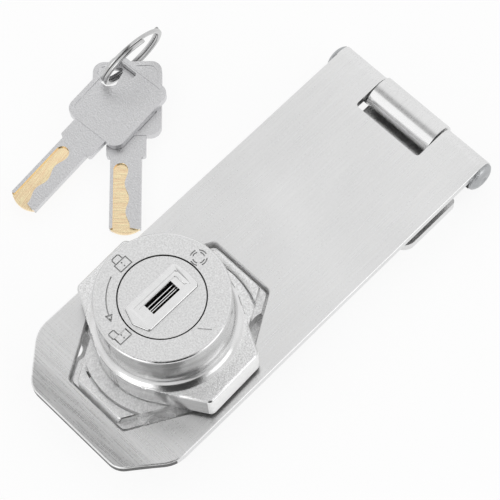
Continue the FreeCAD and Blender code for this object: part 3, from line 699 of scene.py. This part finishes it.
class HASPLOCK_OT_finishes(bpy.types.Operator):
    """Make every finish and dress the inner pieces"""

    bl_idname = "hasplock.finishes"
    bl_label = "Finishes"

    def execute(self, context):
        colours = context.scene.hasplock_colours
        brushed_steel(colours)
        casting(colours, "blasted_casting", level=1.17, grain=0.9)
        # Painted light: a lighter copy of the casting, for the base, the bearing plate and the knob's
        # flange top.
        casting(colours, "pale_casting", level=1.45, grain=2.0)
        # Polished plate for the dust shutter, also used as a painted highlight on the leaf's knuckle.
        polished(colours, "bright_plate", level=1.0)
        polished(colours, "face_plate", level=0.90)
        key_nickel(colours)
        key_track(colours, "key_1", turn=math.radians(100))
        key_track(colours, "key_2", turn=math.radians(225))
        wire(colours)
        steel = inner_metal("turned_steel", colours.inner)
        brass = inner_metal("turned_brass", colours.brass)
        # Painted shade: dark metal in the knob's bore round the plug.
        painted_shade_metal("dark_recess", level=0.25)
        # Painted shade: dark grey in the engraved signs.
        painted_shade_metal("engraved_line", level=0.46)
        # Painted shade: near-black in the keyway and on the plug's outer wall.
        painted_shade_metal("keyway_dark", level=0.06)
        # Painted light: a pale matt wall round the strap's opening, on the flange's ends and on the base's
        # walls that face along the strap.
        matt_wall("pale_wall", level=0.93)
        # Painted shade: a near-black matt wall at the strap's free end.
        matt_wall("sheared_wall", level=0.16)
        for node in ("bearing_screws", "friction_washer", "hub_retainer", "retainer_screws", "bolt_guide",
                     "locking_bolt", "cam_screw", "wafer_spring_strip", "detent_ball", "detent_spring"):
            dress(node, steel)
        for node in ("tail_cam", "wafers"):
            dress(node, brass)
        return {"FINISHED"}


class HASPLOCK_OT_strap(bpy.types.Operator):
    """Strap, hinge leaf and pin"""

    bl_idname = "hasplock.strap"
    bl_label = "Strap and hinge"

    def droop(self, piece, sizes):
        """Bend the free end down a little, in strips."""
        end = CAD_BOX[0].x
        strips = 13
        for strip in range(strips):
            place = end + sizes.droop_run * (1 - strip / strips)
            edit(piece)
            bpy.ops.mesh.bisect(plane_co=(place, 0, 0), plane_no=(1, 0, 0))
            leave()
        for vertex in piece.data.vertices:
            inside = max(0.0, end + sizes.droop_run - vertex.co.x) / sizes.droop_run
            vertex.co.z -= sizes.droop * inside * inside
        round_shading(piece)

    def execute(self, context):
        sizes = context.scene.hasplock_sizes
        for node, finish, slot in (("hasp_strap", "brushed_steel", "strap_steel"),
                                   ("hinge_leaf", "brushed_steel", "strap_steel"),
                                   ("hinge_pin", "turned_steel", "polished_plate")):
            piece = finished_copy(node)
            if node == "hasp_strap":
                self.droop(piece, sizes)
            dress_faces(piece, (finish, "pale_wall", "sheared_wall", "bright_plate"),
                        lambda face: self.wall_of(face) or self.painted_knuckle_highlight(face, node) or finish)
            hand_over(piece, node)
        return {"FINISHED"}

    def wall_of(self, face):
        """Pale walls round the opening, as painted light, and the sheared wall at the free end made dark as
        painted shade.
        """
        place = face.center
        wall = abs(face.normal.z) < WALL
        if wall and abs(place.x) < OPENING_X and abs(place.y) < OPENING_Y:
            return "pale_wall"
        if wall and face.normal.x < -0.3 and place.x < FREE_END_X:
            return "sheared_wall"
        return None

    def painted_knuckle_highlight(self, face, node):
        """Painted highlight: the leaf's knuckle is bright on the side of the lock."""
        if node == "hinge_leaf" and face.center.z > KNUCKLE_Z and face.normal.x < -0.38:
            return "bright_plate"
        return None


class HASPLOCK_OT_base(bpy.types.Operator):
    """Base casting and bearing plate"""

    bl_idname = "hasplock.base"
    bl_label = "Base"

    def execute(self, context):
        for node in ("lock_base", "bearing_plate"):
            piece = finished_copy(node)
            dress_faces(piece, ("pale_casting", "pale_wall"), self.finish_of)
            hand_over(piece, node)
        return {"FINISHED"}

    def finish_of(self, face):
        """Matt on the upright walls that face along the strap, with painted light there and on the
        lightened casting elsewhere.
        """
        if abs(face.normal.x) > 0.8 and face.center.z > BASE_WALL_Z:
            return "pale_wall"
        return "pale_casting"


class HASPLOCK_OT_cylinder(bpy.types.Operator):
    """Key cylinder with its face plate and shutter"""

    bl_idname = "hasplock.cylinder"
    bl_label = "Key cylinder"

    def execute(self, context):
        plug = finished_copy("plug")
        dress_faces(plug, ("blasted_casting", "keyway_dark"), self.finish_of)
        hand_over(plug, "plug")
        plate = finished_copy("plug_face")
        plate.data.materials.append(bpy.data.materials["face_plate"])
        hand_over(plate, "plug_face")
        dress("dust_shutter", bpy.data.materials["bright_plate"])
        return {"FINISHED"}

    def finish_of(self, face):
        """Painted shade below the face plate and on the plug's outer wall."""
        if math.hypot(face.center.x, face.center.y) < PLUG_RIM:
            dark = face.center.z < FACE_FLOOR + FACE_MARGIN
        else:
            dark = abs(face.normal.z) < STEEP
        return "keyway_dark" if dark else "blasted_casting"


class HASPLOCK_OT_keys(bpy.types.Operator):
    """Two keys with bare milled tracks, and their ring"""

    bl_idname = "hasplock.keys"
    bl_label = "Keys and ring"

    def execute(self, context):
        for node in ("key_1", "key_2"):
            piece = finished_copy(node)
            piece.data.materials.append(bpy.data.materials["key_nickel"])
            piece.data.materials.append(bpy.data.materials[node + "_track"])
            self.bare_tracks(piece)
            hand_over(piece, node)
        self.ring(context.scene.hasplock_sizes)
        return {"FINISHED"}

    def ring(self, sizes):
        """Split ring: a flat wire with rounded corners, coiled almost twice and leaning on edge."""
        bpy.ops.mesh.primitive_circle_add(vertices=WIRE_POINTS, radius=1.0, fill_type="NOTHING")
        ring = bpy.context.active_object
        ring.name = "key_ring_coil"
        wide = sizes.ring_wire_width / 2
        thick = sizes.ring_wire_thick / 2
        for vertex in ring.data.vertices:
            x = math.copysign(abs(vertex.co.x) ** WIRE_CORNER, vertex.co.x)
            y = math.copysign(abs(vertex.co.y) ** WIRE_CORNER, vertex.co.y)
            vertex.co = (sizes.ring_outer - wide + x * wide, 0.0, y * thick)
        rise = sizes.ring_pitch * sizes.ring_turns
        modify(ring, "SCREW", axis="Z", angle=math.tau * sizes.ring_turns, screw_offset=-rise,
               steps=WIRE_STEPS, render_steps=WIRE_STEPS, use_merge_vertices=False)
        edit(ring)
        bpy.ops.mesh.select_all(action="DESELECT")
        bpy.ops.mesh.select_non_manifold(extend=False)
        bpy.ops.mesh.edge_face_add()
        bpy.ops.mesh.select_all(action="SELECT")
        bpy.ops.mesh.normals_make_consistent(inside=False)
        leave()
        place = (Matrix.Translation((sizes.ring_x, sizes.ring_y, 0.0))
                 @ Matrix.Rotation(sizes.ring_turn, 4, "Z")
                 @ Matrix.Rotation(math.pi / 2 + sizes.ring_lean, 4, "X")
                 @ Matrix.Rotation(sizes.ring_start, 4, "Z")
                 @ Matrix.Translation((0.0, 0.0, rise / 2)))
        ring.data.transform(place)
        low = min(vertex.co.z for vertex in ring.data.vertices)
        ring.data.transform(Matrix.Translation((0.0, 0.0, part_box("key_ring")[0].z - low)))
        only(ring)
        bpy.ops.object.shade_smooth_by_angle(angle=math.radians(40))
        ring.data.materials.append(bpy.data.materials["bright_wire"])
        hand_over(ring, "key_ring")

    def bare_tracks(self, piece):
        """Give the floors and walls of the milled tracks their own material."""
        work = bmesh.new()
        work.from_mesh(piece.data)
        up = max(work.faces, key=lambda face: face.calc_area()).normal
        levels = [vertex.co.dot(up) for vertex in work.verts]
        middle = (max(levels) + min(levels)) / 2
        for face in work.faces:
            depth = abs(face.calc_center_median().dot(up) - middle)
            if abs(face.normal.dot(up)) > 0.99 and depth < TRACK_DEPTH:
                face.material_index = 1
                for edge in face.edges:
                    for wall in edge.link_faces:
                        if abs(wall.normal.dot(up)) < 0.1:
                            wall.material_index = 1
        work.to_mesh(piece.data)
        work.free()


class HASPLOCK_OT_studio(bpy.types.Operator):
    """Floor, lamps and camera"""

    bl_idname = "hasplock.studio"
    bl_label = "Studio"

    def execute(self, context):
        studio = context.scene.hasplock_studio
        bpy.ops.mesh.primitive_plane_add(size=FLOOR_SIZE, location=(0, 0, -FLOOR_DROP))
        floor = context.active_object
        floor.name = "studio_floor"
        settle(floor)
        floor.data.materials.append(self.floor_material())
        context.scene.view_settings.view_transform = "Standard"
        self.sky(context.scene, studio)
        self.lamps(studio)
        self.camera(context.scene, studio)
        return {"FINISHED"}

    def floor_material(self):
        """White floor that keeps a light shadow."""
        material = bpy.data.materials.new("studio_floor")
        material.use_nodes = True
        graph = Graph(material.node_tree)
        paper = graph.take(graph.node("ShaderNodeBsdfDiffuse", (), {"Color": (1, 1, 1, 1)}))
        glow = graph.take(graph.node("ShaderNodeEmission", (), {"Color": (1, 1, 1, 1), "Strength": 1.0}))
        path = graph.node("ShaderNodeLightPath")
        seen = graph.math("MAXIMUM", graph.take(path, "Is Camera Ray"), graph.take(path, "Is Glossy Ray"))
        surface = graph.node("ShaderNodeMixShader", (), {0: seen * FLOOR_GLOW, 1: paper, 2: glow})
        graph.node("ShaderNodeOutputMaterial", (), {"Surface": graph.take(surface)})
        return material

    def sky(self, scene, studio):
        """White light from all round. A dark gap and a small dim patch are placed for the camera."""
        world = bpy.data.worlds.new("studio_sky")
        world.use_nodes = True
        graph = Graph(world.node_tree)
        direction = graph.take(graph.node("ShaderNodeTexCoord"), "Generated")
        beside = self.along(graph, direction, studio.azimuth + math.pi / 2 + studio.gap_turn, 0.0)
        ahead = self.along(graph, direction, studio.azimuth + studio.gap_turn, 0.0)
        wedge = graph.math("ABSOLUTE", beside) - ahead * GAP_SPREAD + 0.5
        gap = graph.math("MAXIMUM", graph.ramp(wedge, (0.48, 0.0), (0.62, 1.0)),
                         graph.ramp(ahead * 0.5 + 0.5, (0.47, 1.0), (0.57, 0.0)))
        dim = graph.ramp(self.along(graph, direction, DIM_AZIMUTH, DIM_ELEVATION),
                         (math.cos(DIM_EDGE), 1.0), (math.cos(DIM_CORE), studio.tent_dim))
        tent = (gap * (1.0 - studio.gap_level) + studio.gap_level) * dim
        path = graph.node("ShaderNodeLightPath")
        seen = graph.mix(graph.take(path, "Is Camera Ray"), tent * studio.sky, (1, 1, 1, 1))
        sky = graph.node("ShaderNodeBackground", (), {"Color": seen, "Strength": 1.0})
        graph.node("ShaderNodeOutputWorld", (), {"Surface": graph.take(sky)})
        scene.world = world

    def along(self, graph, direction, azimuth, elevation):
        """How far a direction runs along another."""
        aimed = graph.node("ShaderNodeVectorMath", {"operation": "DOT_PRODUCT"},
                           {0: direction, 1: tuple(self.outwards(azimuth, elevation))})
        return graph.take(aimed, "Value")

    def outwards(self, azimuth, elevation):
        """Direction from the lock at an azimuth and an elevation."""
        flat = math.cos(elevation)
        return Vector((math.sin(azimuth) * flat, -math.cos(azimuth) * flat, math.sin(elevation)))

    def lamps(self, studio):
        """Weak soft lamps, low beside and in front."""
        for name, place in LAMPS.items():
            bpy.ops.object.light_add(type="AREA", location=place)
            lamp = bpy.context.active_object
            lamp.name = name
            lamp.data.shape = "SQUARE"
            lamp.data.size = LAMP_SIZE
            lamp.data.energy = LAMP_POWER * studio.lamp
            aim = LAMP_AIM - Vector(place)
            lamp.rotation_euler = aim.to_track_quat("-Z", "Y").to_euler()

    def camera(self, scene, studio):
        """Camera at the photograph's angle."""
        data = bpy.data.cameras.new("studio_camera")
        camera = bpy.data.objects.new("studio_camera", data)
        scene.collection.objects.link(camera)
        scene.camera = camera
        data.sensor_width = 36.0
        data.lens = data.sensor_width * studio.focal / IMAGE
        data.clip_start = 0.01
        back = self.outwards(studio.azimuth, studio.elevation)
        target = Vector((studio.target_x, studio.target_y, studio.target_z))
        camera.location = target + back * studio.distance
        upright = (-back).to_track_quat("-Z", "Y")
        camera.rotation_euler = (upright @ Quaternion((0, 0, 1), studio.roll)).to_euler()


class HASPLOCK_PT_panel(bpy.types.Panel):
    """Sidebar panel that lists the steps"""

    bl_idname = "HASPLOCK_PT_panel"
    bl_label = "Hasp lock"
    bl_space_type = "VIEW_3D"
    bl_region_type = "UI"
    bl_category = "Hasp lock"

    def draw(self, context):
        scene = context.scene
        for group in (scene.hasplock_sizes, scene.hasplock_colours, scene.hasplock_studio):
            box = self.layout.box()
            for name in group.__annotations__:
                box.prop(group, name)
        for step in STEPS:
            self.layout.operator(step.bl_idname)


STEPS = (HASPLOCK_OT_finishes, HASPLOCK_OT_strap, HASPLOCK_OT_base, HASPLOCK_OT_knob, HASPLOCK_OT_cylinder,
         HASPLOCK_OT_keys, HASPLOCK_OT_studio)
GROUPS = {"hasplock_sizes": HaspLockSizes, "hasplock_colours": HaspLockColours,
          "hasplock_studio": HaspLockStudio}
CLASSES = (*GROUPS.values(), *STEPS, HASPLOCK_PT_panel)


def register():
    """Make the classes and their settings known."""
    for kind in CLASSES:
        bpy.utils.register_class(kind)
    for name, kind in GROUPS.items():
        setattr(bpy.types.Scene, name, bpy.props.PointerProperty(type=kind))


def unregister():
    """Take the classes and their settings away."""
    for name in GROUPS:
        delattr(bpy.types.Scene, name)
    for kind in reversed(CLASSES):
        bpy.utils.unregister_class(kind)


def main():
    """Make every piece in order."""
    register()
    for step in STEPS:
        family, name = step.bl_idname.split(".")
        getattr(getattr(bpy.ops, family), name)()


if __name__ == "__main__":
    main()
